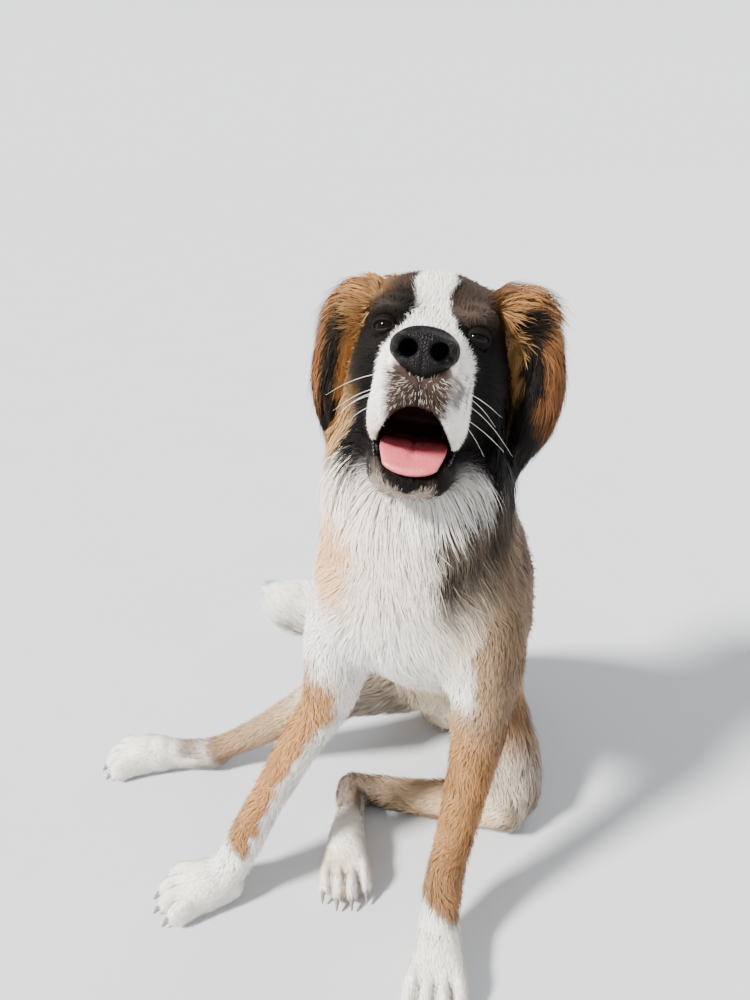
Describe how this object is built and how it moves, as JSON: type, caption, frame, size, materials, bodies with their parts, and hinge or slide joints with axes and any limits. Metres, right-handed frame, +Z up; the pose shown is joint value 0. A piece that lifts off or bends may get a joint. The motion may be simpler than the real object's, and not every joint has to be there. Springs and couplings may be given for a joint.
{
  "type": "dog model",
  "caption": "Life-size still model of a young long-haired Saint Bernard sitting on its hip, head lifted, mouth open, hind legs out in front.",
  "frame": {"origin": "on the floor, under the middle of the bounding box", "axes": "+Z up, the dog looks along -Y, +X to the dog's left"},
  "size_m": [0.7266, 0.9026, 0.8306],
  "materials": {
    "coat": "long soft fur, white, tan and near-black by place",
    "eye": "wet and glossy, dark brown",
    "nose_leather": "moist, finely pebbled black",
    "tongue": "wet, soft pink",
    "claw": "satin grey-beige horn"
  },
  "bodies": {
    "root": {"rump": "coat", "chest": "coat", "neck": "coat", "head": "coat", "muzzle": "coat", "jaw": "coat", "tongue": "tongue", "nose": "nose_leather", "eye_left": "eye", "ear_left": "coat", "forepaw_left": "coat", "hindfoot_left": "coat", "upperarm_left": "coat", "foreleg_left": "coat", "thigh_left": "coat", "shank_left": "coat", "eye_right": "eye", "ear_right": "coat", "forepaw_right": "coat", "hindfoot_right": "coat", "upperarm_right": "coat", "foreleg_right": "coat", "thigh_right": "coat", "shank_right": "coat", "tail_root": "coat", "tail_tip": "coat", "claw_forepaw_left_1": "claw", "claw_forepaw_left_2": "claw", "claw_forepaw_left_3": "claw", "claw_forepaw_left_4": "claw", "claw_hindfoot_left_1": "claw", "claw_hindfoot_left_2": "claw", "claw_hindfoot_left_3": "claw", "claw_hindfoot_left_4": "claw", "claw_forepaw_right_1": "claw", "claw_forepaw_right_2": "claw", "claw_forepaw_right_3": "claw", "claw_forepaw_right_4": "claw", "claw_hindfoot_right_1": "claw", "claw_hindfoot_right_2": "claw", "claw_hindfoot_right_3": "claw", "claw_hindfoot_right_4": "claw"}
  },
  "joints": []
}
